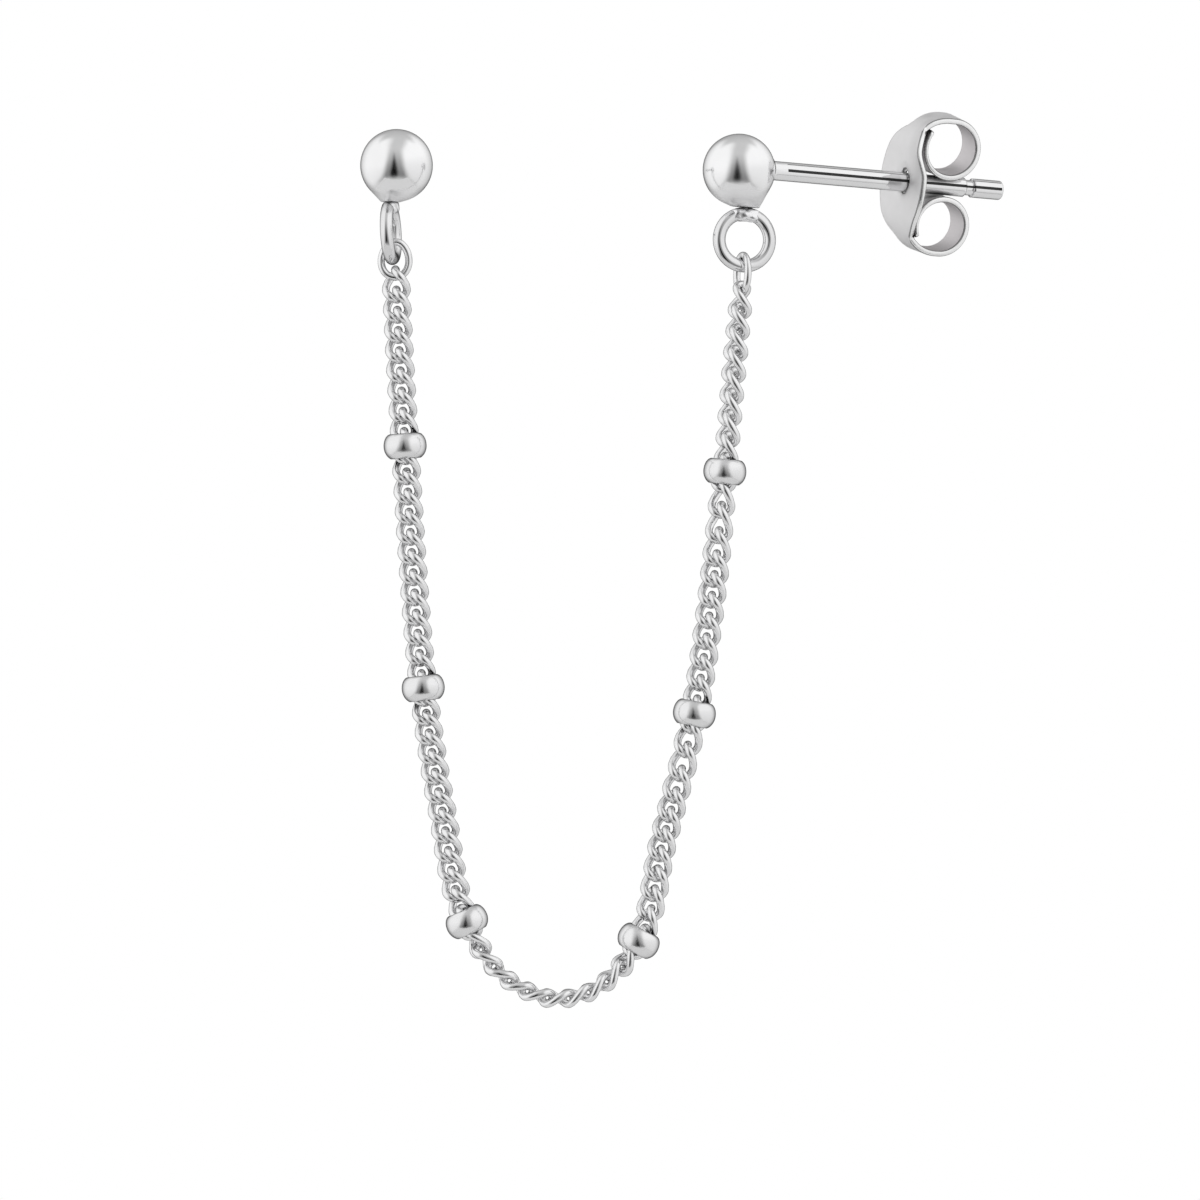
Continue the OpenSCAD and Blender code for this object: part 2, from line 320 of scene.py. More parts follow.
def rot(axis, degrees):
    """Rotation matrix about "x", "y" or "z"."""
    c, s = math.cos(math.radians(degrees)), math.sin(math.radians(degrees))
    return {
        "x": np.array([(1, 0, 0), (0, c, -s), (0, s, c)]),
        "y": np.array([(c, 0, s), (0, 1, 0), (-s, 0, c)]),
        "z": np.array([(c, -s, 0), (s, c, 0), (0, 0, 1)]),
    }[axis]


def unit(v):
    """Vectors of the same directions and of length 1."""
    return v / np.linalg.norm(v, axis=-1, keepdims=True)


def full_turn(count):
    """So many even angles round a circle, in radians."""
    return np.linspace(0, 2 * math.pi, count, endpoint=False)


def grid_faces(rows, columns, closed_rows=False):
    """Quads of a grid of rows x columns vertices, which closes from its last column to its first."""
    faces = []
    for i in range(rows if closed_rows else rows - 1):
        for j in range(columns):
            a, b = i, (i + 1) % rows
            c, d = j, (j + 1) % columns
            faces.append([a * columns + c, a * columns + d, b * columns + d, b * columns + c])
    return faces


def directions(rows, columns):
    """Directions all round, in rows from straight up to straight down."""
    polar = np.linspace(0, math.pi, rows)
    around = full_turn(columns)
    sin, cos = np.sin(polar)[:, None], np.cos(polar)[:, None]
    return np.stack([sin * np.cos(around), sin * np.sin(around), cos + 0 * around], -1).reshape(-1, 3)


def lathe(profile, sides):
    """Points and faces of a closed profile of (radius, height) turned about z."""
    points = [(r * math.cos(a), r * math.sin(a), h) for r, h in profile for a in full_turn(sides)]
    return np.array(points), grid_faces(len(profile), sides, closed_rows=True)


def tube(path, radius, normal, sides):
    """Points and faces of a round wire along a closed path. normal gives a rough sideways direction at
    each point."""
    along = unit(np.roll(path, -1, 0) - np.roll(path, 1, 0))
    n = unit(normal - (normal * along).sum(1, keepdims=True) * along)
    b = np.cross(along, n)
    turn = full_turn(sides)
    ring = np.cos(turn)[None, :, None] * n[:, None] + np.sin(turn)[None, :, None] * b[:, None]
    points = (path[:, None] + radius * ring).reshape(-1, 3)
    return points, grid_faces(len(path), sides, closed_rows=True)


def piece(name, points, faces, materials, body="earring", kinds=None):
    """A smooth mesh piece from points in millimetres, riding on a body. kinds gives the number of each
    face's material, where there are several."""
    mesh = bpy.data.meshes.new(name)
    mesh.from_pydata([tuple(p) for p in np.asarray(points) * MM], [], faces)
    mesh.polygons.foreach_set("use_smooth", [True] * len(mesh.polygons))
    for material in materials:
        mesh.materials.append(material)
    if kinds:
        mesh.polygons.foreach_set("material_index", kinds)
    mesh.validate()
    mesh.update()
    obj = bpy.data.objects.new(name, mesh)
    bpy.context.scene.collection.objects.link(obj)
    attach(obj, body)
    return obj


# Materials


def node_math(tree, kind, a, b=None):
    """A maths node. Its inputs are numbers or other nodes' outputs."""
    node = tree.nodes.new("ShaderNodeMath")
    node.operation = kind
    for socket, value in zip(node.inputs, (a, b)):
        if value is None:
            continue
        if isinstance(value, (int, float)):
            socket.default_value = value
        else:
            tree.links.new(value, socket)
    return node.outputs[0]


def node_range(tree, value, low, high, to_low=0.0, to_high=1.0, smooth=True):
    """value mapped from the range low to high to another range, and kept inside it."""
    node = tree.nodes.new("ShaderNodeMapRange")
    if smooth:
        node.interpolation_type = "SMOOTHSTEP"
    tree.links.new(value, node.inputs["Value"])
    for name, number in zip(("From Min", "From Max", "To Min", "To Max"), (low, high, to_low, to_high)):
        node.inputs[name].default_value = number
    return node.outputs["Result"]


def noise(tree, place, per_mm, detail=4.0):
    """Noise with so many features to the millimetre, in the object's own frame."""
    mapping = tree.nodes.new("ShaderNodeMapping")
    mapping.inputs["Scale"].default_value = [per_mm / MM] * 3
    tree.links.new(place, mapping.inputs["Vector"])
    node = tree.nodes.new("ShaderNodeTexNoise")
    node.inputs["Scale"].default_value = 1.0
    node.inputs["Detail"].default_value = detail
    tree.links.new(mapping.outputs["Vector"], node.inputs["Vector"])
    return node.outputs["Fac"]


def silver(name, rough, tint, wear, grain, height, dull=None, painted_corner_shade=None, rim=1.0):
    """Silver-coloured metal as in METALS: brightness and gloss vary a little, and fine marks break the
    reflections. Some also get shade painted into their narrow corners."""
    material = bpy.data.materials.new(name)
    material.use_nodes = True
    tree = material.node_tree
    shader = tree.nodes["Principled BSDF"]
    shader.inputs["Metallic"].default_value = 1.0
    shader.inputs["Specular Tint"].default_value = (rim, rim, rim, 1)
    place = tree.nodes.new("ShaderNodeTexCoord").outputs["Object"]
    worn = noise(tree, place, wear)
    gloss = node_range(tree, worn, WEAR_LOW, WEAR_HIGH, *rough)
    if dull:
        split = tree.nodes.new("ShaderNodeSeparateXYZ")
        tree.links.new(place, split.inputs[0])
        heat = node_range(tree, split.outputs[2], dull[0] * MM, dull[1] * MM, 0.0, dull[2])
        gloss = node_math(tree, "ADD", gloss, heat)
    tree.links.new(gloss, shader.inputs["Roughness"])
    ramp = tree.nodes.new("ShaderNodeValToRGB")
    ramp.color_ramp.elements[0].position = WEAR_LOW
    ramp.color_ramp.elements[0].color = (*[c * WORN_TINT for c in tint], 1)
    ramp.color_ramp.elements[1].position = WEAR_HIGH
    ramp.color_ramp.elements[1].color = (*tint, 1)
    tree.links.new(worn, ramp.inputs["Fac"])
    colour = ramp.outputs["Color"]
    # Painted shade: narrow corners, found by ambient occlusion, are coloured darker
    if painted_corner_shade:
        corner = tree.nodes.new("ShaderNodeAmbientOcclusion")
        corner.samples = 6
        corner.inputs["Distance"].default_value = painted_corner_shade[0] * MM
        shade = tree.nodes.new("ShaderNodeVectorMath")
        shade.operation = "SCALE"
        tree.links.new(colour, shade.inputs[0])
        unshaded = node_range(tree, corner.outputs["AO"], CORNER_LOW, CORNER_HIGH, painted_corner_shade[1], 1.0)
        tree.links.new(unshaded, shade.inputs["Scale"])
        colour = shade.outputs["Vector"]
    tree.links.new(colour, shader.inputs["Base Color"])
    bump = tree.nodes.new("ShaderNodeBump")
    bump.inputs["Strength"].default_value = 1.0
    bump.inputs["Distance"].default_value = height * MM
    tree.links.new(noise(tree, place, grain, GRAIN_DETAIL), bump.inputs["Height"])
    tree.links.new(bump.outputs["Normal"], shader.inputs["Normal"])
    return material


# Studs


def stud_place(stud, points):
    """From the stud's own frame to the earring's."""
    turn = rot("z", stud["azimuth"]) @ rot("y", stud["dip"])
    return np.asarray(points) @ turn.T + np.array(stud["at"])


def ball_points(stud, rows=120, columns=192, neck_sides=72):
    """The ball, drawn out below to the soldered ring as the smallest convex skin over ball and neck."""
    across = rot("z", -RING_TURN)
    neck = [(NECK_LONG * math.cos(a), NECK_SHORT * math.sin(a), 0) for a in full_turn(neck_sides)]
    neck = np.array(neck) @ across.T + (stud["ring"][0] * NECK_SHIFT, stud["ring"][1], -NECK_DEPTH)
    way = directions(rows, columns)
    reach = np.linalg.norm(neck, axis=1)
    to_neck = np.arccos(np.clip(way @ unit(neck).T, -1, 1))
    tangent = np.arccos(np.clip(BALL_R / reach, -1, 1))
    skin = BALL_R / np.cos(np.maximum(tangent - to_neck, 0))
    return way * skin.max(1)[:, None], grid_faces(rows, columns)


def post_profile(notched):
    """(radius, distance from the ball's middle) of the post, with its fillet, notch and tip. The last
    CUT_END_ROWS rows of faces are its cut end."""
    quarter = np.linspace(0, math.pi / 2, QUARTER_POINTS)
    fillet = [
        (POST_R + FILLET_WIDTH * (1 - math.sin(a)), POST_ROOT + FILLET_LENGTH * (1 - math.cos(a)))
        for a in quarter
    ]
    shaft_end = NOTCH_AT - NOTCH_HALF - NOTCH_MARGIN
    shaft = [(POST_R, d) for d in np.linspace(SHAFT_START, shaft_end, SHAFT_POINTS)]
    notch = []
    if notched:
        for t in np.linspace(-1, 1, NOTCH_POINTS):
            dip = NOTCH_DEPTH * (1 - abs(t) ** NOTCH_POWER)
            notch.append((POST_R - dip, NOTCH_AT + t * NOTCH_HALF))
    end_start, end_stop = NOTCH_AT + NOTCH_HALF + NOTCH_MARGIN, POST_TIP - TIP_BEVEL - TIP_MARGIN
    end = [(POST_R, d) for d in np.linspace(end_start, end_stop, END_POINTS)]
    tip = [
        (POST_R - TIP_BEVEL * (1 - math.cos(a)), POST_TIP - TIP_BEVEL * (1 - math.sin(a)))
        for a in quarter
    ]
    cut_end = [(r, POST_TIP) for r in (POST_R - TIP_BEVEL - TIP_MARGIN, TIP_INNER_R, 0.0)]
    return fillet + shaft + notch + end + tip + cut_end


def post_points(stud):
    """Points, faces and the kind of each face of the post."""
    around = {math.radians(a): 0.0 for a in np.arange(0, 360, POST_STEP)}
    for angle, width in DARK_REFLECTION_LINES:
        middle, half = math.radians(angle), width / 2 / POST_R
        around = {a: d for a, d in around.items() if abs(a - middle) > half * LINE_CLEAR}
        around |= {middle - half: 0.0, middle - half / 3: LINE_DEPTH}
        around |= {middle + half / 3: LINE_DEPTH, middle + half: 0.0}
    around = dict(sorted(around.items()))
    angles, depths = np.array(list(around)), np.array(list(around.values()))
    profile = post_profile(stud["notched"])
    lines_from, lines_to = BALL_R + LINE_START, POST_TIP - TIP_BEVEL

    def kind(face):
        row, column = divmod(face, len(angles))
        if row >= len(profile) - 1 - CUT_END_ROWS:
            return CUT_END
        lined = depths[column] > 0 or depths[(column + 1) % len(angles)] > 0
        # Faces on a groove carry the painted dark reflection
        return PAINTED_REFLECTION if lined and lines_from < profile[row][1] < lines_to else PLAIN

    points = []
    for r, d in profile:
        cut = depths * (lines_to > d > lines_from)
        points += [(d, (r - c) * math.cos(a), (r - c) * math.sin(a)) for a, c in zip(angles, cut)]
    faces = grid_faces(len(profile), len(angles))
    return np.array(points) + (0, 0, stud["lift"]), faces, [kind(face) for face in range(len(faces))]


def ring_points(stud, count=160, sides=32):
    """The round wire ring under the ball."""
    turn = full_turn(count)
    out = np.stack([np.cos(turn), 0 * turn, np.sin(turn)], -1)
    out = out @ (rot("z", -RING_TURN) @ rot("x", stud["lean"])).T
    return tube(RING_R * out + np.array(stud["ring"]), RING_WIRE / 2, out, sides)


def solder_points(stud, rows=72, columns=96):
    """The solder at the neck: a rounded block, pushed in and out by smooth waves."""
    way = directions(rows, columns)
    reach = (np.abs(way / np.array(SOLDER_HALF)) ** SOLDER_POWER).sum(1) ** (-1 / SOLDER_POWER)
    rng = np.random.default_rng(stud["seed"])
    wave = np.zeros(len(way))
    for _ in range(SOLDER_WAVES):
        k = rng.normal(size=3) * WAVES_PER_MM
        wave += np.sin((way * reach[:, None]) @ k + rng.uniform(0, WAVE_SHIFT))
    points = way * (reach + WAVE_DEPTH * wave / SOLDER_WAVES ** 0.5)[:, None]
    x, y, z = stud["ring"]
    points = points @ rot("z", -RING_TURN).T + (x * NECK_SHIFT, y, z + RING_R - SOLDER_BELOW)
    return points, grid_faces(rows, columns)


def make_stud(side, metals):
    """A stud as four pieces: ball, post, ring and solder."""
    stud = STUDS[side]
    shapes = {
        "ball": (*ball_points(stud), None),
        "post": post_points(stud),
        "ring": (*ring_points(stud), None),
        "solder": (*solder_points(stud), None),
    }
    for name, (points, faces, kinds) in shapes.items():
        materials = [metals[metal] for metal in STUD_METALS[name]]
        obj = piece(f"{side}_{name}", stud_place(stud, points), faces, materials, kinds=kinds)
        if name == "ball":
            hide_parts(f"{side}_stud")


# Chain


def path_trail():
    """The chain's middle as points close together, and the distance walked to each."""
    gaps = np.linalg.norm(np.diff(ROUTE, axis=0), axis=1)
    heads = [(ROUTE[1] - ROUTE[0]) / gaps[0]]
    for i in range(1, len(ROUTE) - 1):
        before, after = gaps[i - 1], gaps[i]
        heads.append(
            ((ROUTE[i] - ROUTE[i - 1]) * after / before + (ROUTE[i + 1] - ROUTE[i]) * before / after)
            / (before + after)
        )
    heads.append((ROUTE[-1] - ROUTE[-2]) / gaps[-1])
    points = []
    for i, gap in enumerate(gaps):
        for k in range(STEPS):
            t = k / STEPS
            t2, t3 = t * t, t * t * t
            points.append(
                ROUTE[i] * (2 * t3 - 3 * t2 + 1) + heads[i] * gap * (t3 - 2 * t2 + t)
                + ROUTE[i + 1] * (3 * t2 - 2 * t3) + heads[i + 1] * gap * (t3 - t2)
            )
    points = np.array(points + [ROUTE[-1]])
    walked = np.r_[0, np.cumsum(np.linalg.norm(np.diff(points, axis=0), axis=1))]
    return points, walked


TRAIL, WALKED = path_trail()


def at(s):
    """Place of the chain's middle at a distance along it."""
    return np.array([np.interp(s, WALKED, TRAIL[:, k]) for k in range(3)])


def chain_frame(s, reach=0.2):
    """Rows: across, away and up the chain at a distance along it."""
    up = -unit(at(s + reach) - at(s - reach))
    side = unit(np.cross((0, 1, 0), up))
    return np.array([side, np.cross(up, side), up])


def joint_sum(count, joints, long_ones):
    """Length of the first joints of a stretch, in plain joints. The last of its joints are long ones."""
    return count + (LONG_STRETCH - 1) * max(0, count - (joints - long_ones))


def link_s(n):
    """Distance along the chain of link n."""
    j = max(j for j in range(len(STOPS) - 1) if STOPS[j][1] <= n)
    (start_row, start_link, _), (end_row, end_link, long_ones) = STOPS[j], STOPS[j + 1]
    start, end = WALKED[start_row * STEPS], WALKED[end_row * STEPS]
    joints = end_link - start_link
    part = joint_sum(n - start_link, joints, long_ones)
    return start + (end - start) * part / joint_sum(joints, joints, long_ones)


def joints_of(n):
    """Length of the joint before and after link n."""
    before = link_s(n) - link_s(n - 1) if n > 0 else link_s(1) - link_s(0)
    after = link_s(n + 1) - link_s(n) if n < LAST_LINK else before
    return before, after


def stadium(width, height, count):
    """Points of an upright oval with straight sides, and the outward direction at each."""
    r = width / 2
    straight = height / 2 - r
    total = 2 * math.pi * r + 4 * straight
    points, out = [], []
    for k in range(count):
        d = k / count * total
        if d < math.pi * r:
            a, middle = d / r, straight
        elif d < math.pi * r + 2 * straight:
            a, middle = math.pi, straight - (d - math.pi * r)
        elif d < 2 * math.pi * r + 2 * straight:
            a, middle = math.pi + (d - math.pi * r - 2 * straight) / r, -straight
        else:
            a, middle = 0, -straight + (d - 2 * math.pi * r - 2 * straight)
        points.append((r * math.cos(a), 0, r * math.sin(a) + middle))
        out.append((math.cos(a), 0, math.sin(a)))
    return np.array(points), np.array(out)


def twisted(points, turn):
    """Points turned about z, each by its own angle."""
    c, s = np.cos(turn), np.sin(turn)
    x, y, z = points.T
    return np.stack([x * c - y * s, x * s + y * c, z], -1)


def link_points(n, count=88, sides=14):
    """Link n: a round wire oval, twisted about the chain and rolled with it."""
    before, after = joints_of(n)
    length = (before + after) / 2 + LINK_WIRE + LINK_SLACK
    s = link_s(n) + (after - before) / 4
    path, out = stadium(LINK_W - LINK_WIRE, length, count)
    twist = np.interp(n, TWIST_LINK, TWIST)
    turn = np.radians(np.interp(n, ROLL_LINK, ROLL) - twist * path[:, 2] / (length / 2))
    axes = chain_frame(s)
    path = twisted(path, turn) @ axes + at(s)
    out = twisted(out, turn) @ axes
    return tube(path, LINK_WIRE / 2, out, sides)


def make_links(name, numbers, material):
    """One half of the chain, with all its links in one piece."""
    points, faces, first = [], [], 0
    for n in numbers:
        link, quads = link_points(n)
        points.append(link)
        faces += [[first + v for v in quad] for quad in quads]
        first += len(link)
    obj = piece(f"{name}_links", np.concatenate(points), faces, [material])
    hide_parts(name)


def bead_profile(up, count=24):
    """(radius, height) round the section of a bead: a plump side, rounder below, and a straight bore.
    up is 1 where the chain's own up is the bead's and -1 where it is not."""
    outer = [(BEAD_R, 0)]
    for side, (plump, half) in ((-up, BEAD_BELOW), (up, BEAD_ABOVE)):
        rim = BEAD_R - plump
        end = math.acos((BORE_R - rim) / plump)
        bulge = np.linspace(0, end, count)[1:]
        outer += [(rim + plump * math.cos(a), side * half * math.sin(a)) for a in bulge]
    outer.sort(key=lambda point: point[1])
    heights = np.linspace(BEAD_H / 2 - BORE_LIP, BORE_LIP - BEAD_H / 2, BORE_POINTS)
    return outer + [(BORE_R - BORE_STEP, h) for h in heights]


def make_bead(number, link, material):
    """A bead round a link. The first half of them hang on the left strand, where the chain's up is up."""
    s = link_s(link)
    points, faces = lathe(bead_profile(1 if number <= len(BEAD_LINKS) / 2 else -1), BEAD_SIDES)
    obj = piece(f"bead_{number}_round", points @ chain_frame(s) + at(s), faces, [material])
    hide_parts(f"bead_{number}")


def make_end_link(side, material, count=96, sides=20):
    """The plain oval link between a stud's ring and the chain."""
    link = END_LINKS[side]
    turn = full_turn(count)
    c, s = np.cos(turn), np.sin(turn)
    path = np.stack([link["width"] / 2 * c * (1 - link["swell"] * s), 0 * c, link["height"] / 2 * s], -1)
    path = path @ (rot("z", link["azimuth"]) @ rot("x", link["tilt"]) @ rot("y", link["lean"])).T
    points, faces = tube(path + np.array(link["middle"]), END_WIRE / 2, path, sides)
    obj = piece(f"{side}_end_link", points, faces, [material])
    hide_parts(f"end_link_{side}")


# Butterfly back: a flat sheet outline bent along its profile


def bend_end(side):
    """Distance from the post at which the sheet has turned from the plate to the flat top of the bend."""
    return SCROLLS[side]["top"] - BEND_R + BEND_R * math.pi / 2


def sheet_end(side):
    """Distance from the post to the end of the sheet, along it."""
    scroll = SCROLLS[side]
    return bend_end(side) + SCROLL_X - BEND_R + scroll["radius"] * math.radians(scroll["turn"])


def profile_at(s):
    """Middle of the sheet at a distance s from the post: x, z, the outward normal's x and z, how much of
    the bend is behind it (0 on the plate, 1 past the bend), and how far the scroll has turned."""
    side, d = (1, s) if s >= 0 else (-1, -s)
    radius, top = SCROLLS[side]["radius"], SCROLLS[side]["top"]
    bend_start, bent = top - BEND_R, bend_end(side)
    past, turned = 1.0, 0.0
    if d <= bend_start:
        x, z, nx, nz, past = 0.0, d, -1.0, 0.0, 0.0
    elif d <= bent:
        a = math.pi - (d - bend_start) / BEND_R
        x, z = BEND_R + BEND_R * math.cos(a), bend_start + BEND_R * math.sin(a)
        nx, nz, past = math.cos(a), math.sin(a), (d - bend_start) / (bent - bend_start)
    elif d <= bent + SCROLL_X - BEND_R:
        x, z, nx, nz = BEND_R + d - bent, top, 0.0, 1.0
    else:
        turned = (d - bent - SCROLL_X + BEND_R) / radius
        a = math.pi / 2 - turned
        x, z = SCROLL_X + radius * math.cos(a), top - radius + radius * math.sin(a)
        nx, nz = math.cos(a), math.sin(a)
    return x, side * z, nx, side * nz, past, turned


def half_width(s):
    """Half the width of the sheet at a distance s from the post: the plate's oval, then the band, with a
    soft corner between them. Below the post it is the same as above."""
    _, z, _, _, past, _ = profile_at(abs(s))
    on_oval = z < PLATE_HALF[1] and past < 1
    oval = PLATE_HALF[0] * math.sqrt(1 - (z / PLATE_HALF[1]) ** 2) if on_oval else 0.0
    near = max(SOFT_CORNER - abs(oval - BAND_HALF), 0) / SOFT_CORNER
    return max(oval, BAND_HALF) + near * near * SOFT_CORNER / 4


def sheet_outline(start, end):
    """The flat sheet's outline as (s, y) points, anticlockwise, with rounded ends."""
    upper = []
    for s in np.linspace(start, end, int((end - start) / OUTLINE_STEP)):
        from_end = min(end - s, s - start)
        width = half_width(s)
        if from_end < END_CORNER:
            width -= END_CORNER - math.sqrt(max(0.0, END_CORNER ** 2 - (END_CORNER - from_end) ** 2))
        upper.append((s, width))
    lower = [(s, -width) for s, width in upper]
    return lower + upper[::-1]


def inset(loop, depth):
    """A closed loop of (s, y) points moved to its left by depth."""
    p = np.array(loop)
    along = unit(np.roll(p, -1, 0) - np.roll(p, 1, 0))
    return p + depth * np.stack([-along[:, 1], along[:, 0]], -1)


def smooth(value, low, high):
    """0 up to low, 1 from high on, and a smooth step between them."""
    t = min(max((value - low) / (high - low), 0.0), 1.0)
    return t * t * (3 - 2 * t)


def over_post(y, z):
    """Height of the scroll where it lies on the post, in a hollow that keeps clear of it."""
    away = POST_R + SHEET / 2 + POST_CLEAR
    r = math.hypot(y, z - (STUDS["right"]["lift"] - BACK_LIFT))
    pushed = (away ** HOLLOW_POWER + r ** HOLLOW_POWER) ** (1 / HOLLOW_POWER)
    return z + math.copysign(1.0, z) * (pushed - r)


def on_sheet(flat, height):
    """Flat (s, y) points to their place on the bent sheet, height off its middle surface."""
    out = []
    for s, y in flat:
        x, z, nx, nz, past, turned = profile_at(s)
        across = abs(y) / PLATE_HALF[0]
        dish = DISH * across ** 2 * (1 - past)
        # Only the upper half of the plate flares, on its side towards -y
        if s > 0 and y < 0:
            flare = smooth(z, FLARE_FROM, FLARE_TO) * (1 - smooth(past, FLARE_ENDS, 1.0))
            dish += FLARE * across ** 1.5 * flare
        from_hole = max(0.0, math.hypot(s, y) - HOLE_R)
        punch = -PUNCH_DEPTH * math.exp(-(from_hole / PUNCH_REACH) ** 2)
        if turned > 1:
            z = over_post(y, z)
        off = height * (1 - SCROLL_THIN * smooth(turned, THIN_FROM, THIN_TO)) + dish + punch
        skew = math.sin(math.radians(SCROLLS[1 if s >= 0 else -1]["skew"]) * past) * (y - BAND_HALF)
        out.append((x + nx * off, y, z + nz * off + skew))
    return np.array(out)


def flat_sheet(outer, inner):
    """The flat sheet between its outer loop and the loop of its hole, in triangles: the points, the
    triangles, and which point each point of the two loops has become."""
    least, most = outer.min(0), outer.max(0)
    inside = []
    rows = int((most[1] - least[1]) / MESH_STEP)
    for i in range(int((most[0] - least[0]) / MESH_STEP)):
        for j in range(rows + 1):
            s = least[0] + (i + 0.5 * (j % 2)) * MESH_STEP
            y = least[1] + j * MESH_STEP
            in_width = abs(y) < half_width(s) - SHEET_EDGE - MESH_CLEAR
            off_hole = math.hypot(s, y) > HOLE_R + SHEET_EDGE + MESH_CLEAR
            if in_width and off_hole and least[0] + MESH_ENDS < s < most[0] - MESH_ENDS:
                inside.append((s, y))
    edges = []
    for first, count in ((0, len(outer)), (len(outer), len(inner))):
        edges += [(first + k, first + (k + 1) % count) for k in range(count)]
    corners = [Vector(p) for p in (*outer, *inner, *inside)]
    made = delaunay_2d_cdt(corners, edges, [], 0, SAME_POINT)
    flat = [tuple(v) for v in made[0]]
    triangles = [t for t in made[2] if in_sheet([flat[v] for v in t])]
    return flat, triangles, {source: v for v, sources in enumerate(made[3]) for source in sources}


def in_sheet(corners):
    """Whether the middle of a triangle lies within the outline and outside the hole."""
    s = sum(c[0] for c in corners) / 3
    y = sum(c[1] for c in corners) / 3
    return abs(y) < half_width(s) and math.hypot(s, y) > HOLE_R


def sheet_solid(outline, hole):
    """Both faces of the sheet and its rounded edges, round the outline and round the hole: points, faces
    and the kind of each face."""
    outer, inner = inset(outline, SHEET_EDGE), inset(hole, -SHEET_EDGE)
    flat, triangles, number_of = flat_sheet(outer, inner)
    half = SHEET / 2
    count = len(flat)
    points = [on_sheet(flat, half), on_sheet(flat, -half)]
    faces = [list(t) for t in triangles] + [[v + count for v in t[::-1]] for t in triangles]
    kinds = [OUTSIDE] * len(triangles) + [INSIDE] * len(triangles)
    first = 2 * count
    for loop, start, sign in ((outer, 0, -1), (inner, len(outer), 1)):
        n = len(loop)
        top = [number_of[start + k] for k in range(n)]
        rings = [top]
        for step in range(1, EDGE_STEPS):
            a = math.pi * step / EDGE_STEPS
            height = (half - SHEET_EDGE) * (1 if a < math.pi / 2 else -1) + SHEET_EDGE * math.cos(a)
            points.append(on_sheet(inset(loop, sign * SHEET_EDGE * math.sin(a)), height))
            rings.append([first + k for k in range(n)])
            first += n
        rings.append([v + count for v in top])
        for step, (a, b) in enumerate(zip(rings, rings[1:])):
            for k in range(n):
                m = (k + 1) % n
                faces.append([a[k], b[k], b[m], a[m]] if sign < 0 else [a[k], a[m], b[m], b[k]])
                # The shoulders on either side of the cut edge get the painted edge shade
                kinds.append(CUT_EDGE if 1 < step < EDGE_STEPS - 2 else EDGE_SHADE)
    return np.concatenate(points), faces, kinds


def make_butterfly(materials):
    """The bent sheet: outside, inside, cut edge and the dark bands painted along it as edge shade."""
    hole = [(HOLE_R * math.cos(a), HOLE_R * math.sin(a)) for a in full_turn(HOLE_SIDES)]
    points, faces, kinds = sheet_solid(sheet_outline(-sheet_end(-1), sheet_end(1)), hole)
    points = stud_place(STUDS["right"], points @ rot("x", BACK_ROLL).T + (BACK_AT, 0, BACK_LIFT))
    obj = piece("butterfly_sheet", points, faces, materials, body="butterfly", kinds=kinds)
    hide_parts("butterfly_back")


# Light, floor and camera


def make_world():
    """A soft studio: a large softbox to the left and one to the right, a narrow dark gap where the camera
    stands, light grey above and below, darker behind. The camera itself sees plain white."""
    world = bpy.data.worlds.new("studio")
    bpy.context.scene.world = world
    world.use_nodes = True
    tree = world.node_tree
    back = tree.nodes["Background"]
    split = tree.nodes.new("ShaderNodeSeparateXYZ")
    tree.links.new(tree.nodes.new("ShaderNodeTexCoord").outputs["Generated"], split.inputs[0])
    x, y, z = split.outputs

    def edge(value, low, high):
        """0 up to low, 1 from high on, and a smooth step between them."""
        return node_range(tree, value, low, high)

    def minus(a, b):
        return node_math(tree, "SUBTRACT", a, b)

    def times(a, b):
        return node_math(tree, "MULTIPLY", a, b)

    def mix(base, top, share):
        return node_math(tree, "ADD", base, times(minus(top, base), share))

    def curve(value, stops):
        """Piecewise straight line through (value, result) stops, both from -1 to 1."""
        node = tree.nodes.new("ShaderNodeFloatCurve")
        points = node.mapping.curves[0].points
        scaled = [((v + 1) / 2, (r + 1) / 2) for v, r in stops]
        points[0].location, points[1].location = scaled[0], scaled[-1]
        for p in scaled[1:-1]:
            points.new(*p)
        for p in points:
            p.handle_type = "VECTOR"
        node.mapping.update()
        tree.links.new(node_range(tree, value, -1, 1, smooth=False), node.inputs["Value"])
        return minus(times(node.outputs[0], 2.0), 1.0)

    # Between the softboxes: grey, darkest low down, with a dark drop-shaped gap
    light = curve(z, BETWEEN)
    off = node_math(tree, "ABSOLUTE", minus(x, GAP_MIDDLE))
    in_gap = edge(minus(curve(z, GAP_HALF), off), -GAP_SOFT, GAP_SOFT)
    light = mix(light, 0.0, times(in_gap, edge(times(y, -1.0), *GAP_FRONT)))
    light = mix(light, BACK_GREY, edge(y, *BACK_Y))

    # Softboxes, fading towards their lower ends
    in_left, in_right = minus(curve(z, LEFT_EDGE), x), minus(x, curve(z, RIGHT_EDGE))
    light = mix(light, curve(z, LEFT_LIGHT), edge(in_left, -BOX_SOFT, BOX_SOFT))
    light = mix(light, curve(z, RIGHT_LIGHT), edge(in_right, -BOX_SOFT, BOX_SOFT))

    # Above and behind, below, and straight behind
    light = mix(light, ABOVE_GREY, times(edge(z, *ABOVE_Z), edge(y, *ABOVE_Y)))
    light = mix(light, BELOW_GREY, edge(times(z, -1.0), *BELOW_DEPTH))
    light = times(light, curve(y, BEHIND))

    rays = tree.nodes.new("ShaderNodeLightPath")
    tree.links.new(mix(light, 1.0, rays.outputs["Is Camera Ray"]), back.inputs["Color"])
    back.inputs["Strength"].default_value = 1.0


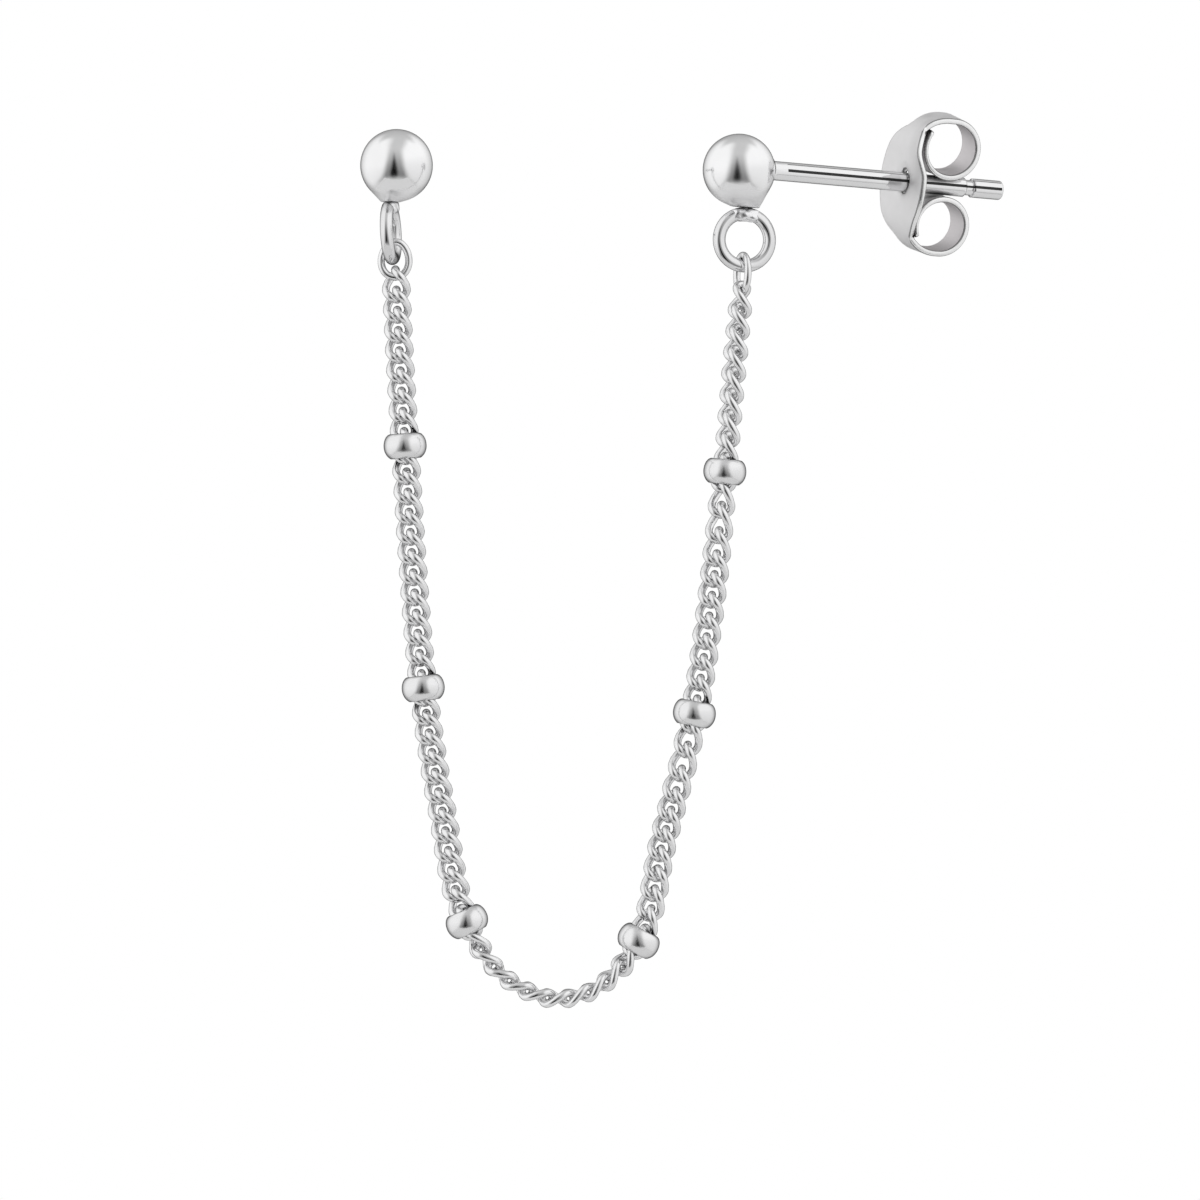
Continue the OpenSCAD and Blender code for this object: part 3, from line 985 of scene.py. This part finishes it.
def make_floor():
    """A pale floor below the earring."""
    material = bpy.data.materials.new("pale_floor")
    material.use_nodes = True
    tree = material.node_tree
    shader = tree.nodes["Principled BSDF"]
    shader.inputs["Roughness"].default_value = 0.9
    place = tree.nodes.new("ShaderNodeTexCoord").outputs["Object"]
    ramp = tree.nodes.new("ShaderNodeValToRGB")
    ramp.color_ramp.elements[0].color = (0.9, 0.9, 0.9, 1)
    ramp.color_ramp.elements[1].color = (0.93, 0.93, 0.93, 1)
    tree.links.new(noise(tree, place, FLOOR_NOISE_PER_MM), ramp.inputs["Fac"])
    tree.links.new(ramp.outputs["Color"], shader.inputs["Base Color"])
    mesh = bpy.data.meshes.new("floor")
    reach, height = FLOOR_HALF * MM, FLOOR_HEIGHT * MM
    corners = [(x * reach, y * reach, height) for x, y in ((-1, -1), (1, -1), (1, 1), (-1, 1))]
    mesh.from_pydata(corners, [], [(0, 1, 2, 3)])
    mesh.materials.append(material)
    floor = bpy.data.objects.new("floor", mesh)
    bpy.context.scene.collection.objects.link(floor)


def make_camera():
    """A long lens straight in front, which looks along +y."""
    data = bpy.data.cameras.new("camera")
    data.sensor_width = CAMERA_SENSOR
    data.lens = CAMERA_LENS
    data.clip_start, data.clip_end = CAMERA_REACH
    camera = bpy.data.objects.new("camera", data)
    camera.location = [v * MM for v in CAMERA_AT]
    camera.rotation_euler = (math.pi / 2, 0, 0)
    bpy.context.scene.collection.objects.link(camera)
    bpy.context.scene.camera = camera


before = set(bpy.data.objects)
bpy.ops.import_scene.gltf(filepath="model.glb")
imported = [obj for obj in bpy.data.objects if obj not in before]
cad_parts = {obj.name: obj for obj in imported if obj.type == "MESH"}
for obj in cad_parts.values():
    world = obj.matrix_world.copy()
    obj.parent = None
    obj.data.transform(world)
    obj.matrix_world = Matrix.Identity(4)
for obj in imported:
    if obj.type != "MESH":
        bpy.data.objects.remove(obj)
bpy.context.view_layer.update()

metals = {metal: silver(metal, **look) for metal, look in METALS.items()}
for stud_side in STUDS:
    make_stud(stud_side, metals)
    make_end_link(stud_side, metals["chain_silver"])
make_links("chain_left", range(HALF_LINK), metals["chain_silver"])
make_links("chain_right", range(HALF_LINK, LAST_LINK + 1), metals["chain_silver"])
for bead_number, bead_link in enumerate(BEAD_LINKS, 1):
    make_bead(bead_number, bead_link, metals["bead_silver"])
make_butterfly([metals[metal] for metal in BACK_METALS])

make_world()
make_floor()
make_camera()
bpy.context.scene.view_settings.view_transform = "Standard"
